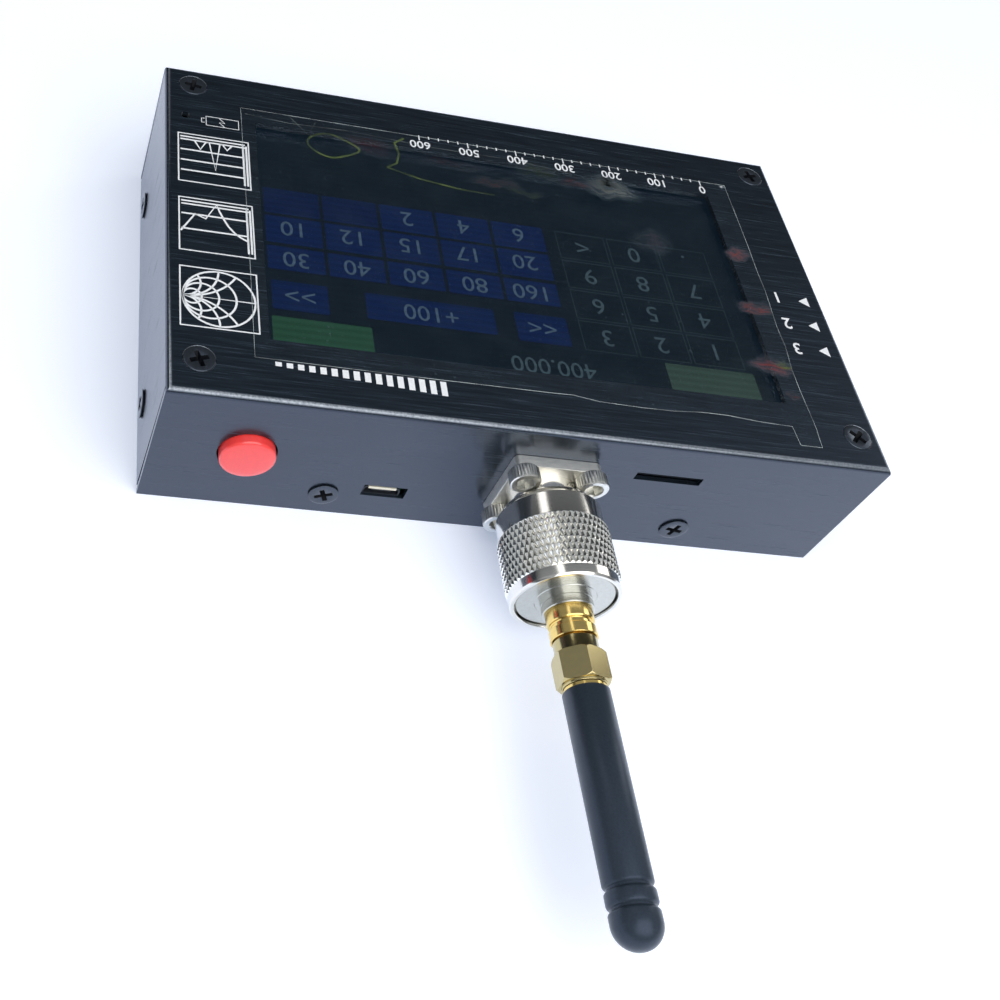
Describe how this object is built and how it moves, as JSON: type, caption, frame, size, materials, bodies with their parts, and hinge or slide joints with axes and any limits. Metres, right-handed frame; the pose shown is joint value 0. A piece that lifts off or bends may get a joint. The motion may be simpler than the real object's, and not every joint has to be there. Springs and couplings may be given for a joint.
{
  "type": "antenna analyzer",
  "caption": "Hand-held antenna analyzer: a folded black aluminium case with a touch display, an N socket with an SMA adapter and a stub antenna.",
  "frame": {"origin": "middle of the case's back face, which the part lies on", "axes": "+Z out of the display, +Y towards the antenna's tip, +X towards the side that is on the right when the front is read upright"},
  "size_m": [0.1357, 0.1634, 0.0297],
  "materials": {
    "case_anodised": "black brushed anodised",
    "black_oxide": "black oxide",
    "zinc_steel": "zinc plated",
    "nickel": "bright nickel plated brass",
    "plated_screw": "bright plated",
    "spacer_brass": "nickel plated brass",
    "gold_bright": "bright gold plated",
    "gold_satin": "satin gold plated",
    "ptfe": "turned PTFE",
    "black_rubber": "matt",
    "whip_rubber": "satin",
    "copper_wire": "enamelled copper",
    "cover_glass": "polished",
    "screen_glass": "polished",
    "tin_steel": "tin plated",
    "white_acrylic": "frosted",
    "foam_tape": "foam",
    "film": "clear PET",
    "board_laminate": "solder mask",
    "chip_epoxy": "moulded",
    "red_abs": "satin moulded",
    "white_abs": "moulded",
    "black_abs": "moulded",
    "phenolic": "sheet",
    "battery_foil": "aluminium laminate pouch",
    "lead_sleeve": "silicone",
    "flex_film": "polyimide",
    "led_epoxy": "diffused"
  },
  "bodies": {
    "analyzer": {"adapter_body": "nickel", "adapter_gasket": "black_rubber", "adapter_insulator": "ptfe", "adapter_pin": "gold_bright", "antenna_bead": "ptfe", "antenna_coil": "copper_wire", "antenna_ferrule": "gold_bright", "antenna_pin": "gold_bright", "antenna_whip": "whip_rubber", "back_cover": "case_anodised", "band_switch_base": "phenolic", "band_switch_frame": "tin_steel", "battery_cell": "battery_foil", "battery_lead": "lead_sleeve", "battery_pad": "foam_tape", "board_nuts": "zinc_steel", "board_spacers": "spacer_brass", "card_socket": "tin_steel", "charge_light": "led_epoxy", "charger_board": "board_laminate", "charger_chip": "chip_epoxy", "charger_posts": "white_abs", "crystals": "tin_steel", "display_ribbon": "flex_film", "display_tape": "foam_tape", "face_screws": "black_oxide", "flange_nuts": "zinc_steel", "flange_screws": "plated_screw", "front_shell": "case_anodised", "lcd_frame": "tin_steel", "lcd_glass": "screen_glass", "light_guide": "white_acrylic", "link_header": "black_abs", "link_socket": "black_abs", "main_board": "board_laminate", "memory_chip": "chip_epoxy", "n_contact": "gold_bright", "n_insulator": "ptfe", "n_socket": "nickel", "nut_ring": "plated_screw", "panel_gasket": "foam_tape", "power_switch": "black_abs", "processor_chip": "chip_epoxy", "rf_board": "board_laminate", "rf_screws": "zinc_steel", "rf_shield": "tin_steel", "rf_spacers": "spacer_brass", "ribbon_socket": "white_abs", "screen_film": "film", "side_screws": "black_oxide", "sma_insulator": "ptfe", "sma_jack": "gold_bright", "touch_panel": "cover_glass", "usb_receptacle": "tin_steel", "usb_tongue": "black_abs"},
    "power_button": {"power_button": "red_abs", "button_stem": "white_abs"},
    "coupling_nut": {"coupling_nut": "nickel"},
    "antenna_nut": {"antenna_nut": "gold_satin"},
    "band_knob": {"band_knob": "black_abs"}
  },
  "joints": [
    {"name": "power_press", "type": "slide", "parent": "analyzer", "child": "power_button", "axis": [0, -1, 0], "range_m": [0, 0.0015], "stiffness_N_per_m": 1200, "springref_m": -0.0005},
    {"name": "coupling_turn", "type": "hinge", "parent": "analyzer", "child": "coupling_nut", "pos_m": [-0.00405, 0.058, 0.0148], "axis": [0, 1, 0], "continuous": true},
    {"name": "antenna_nut_turn", "type": "hinge", "parent": "analyzer", "child": "antenna_nut", "pos_m": [-0.00405, 0.077, 0.0148], "axis": [0, 1, 0], "continuous": true},
    {"name": "band_slide", "type": "slide", "parent": "analyzer", "child": "band_knob", "axis": [0, 1, 0], "range_m": [-0.003, 0.003]}
  ]
}
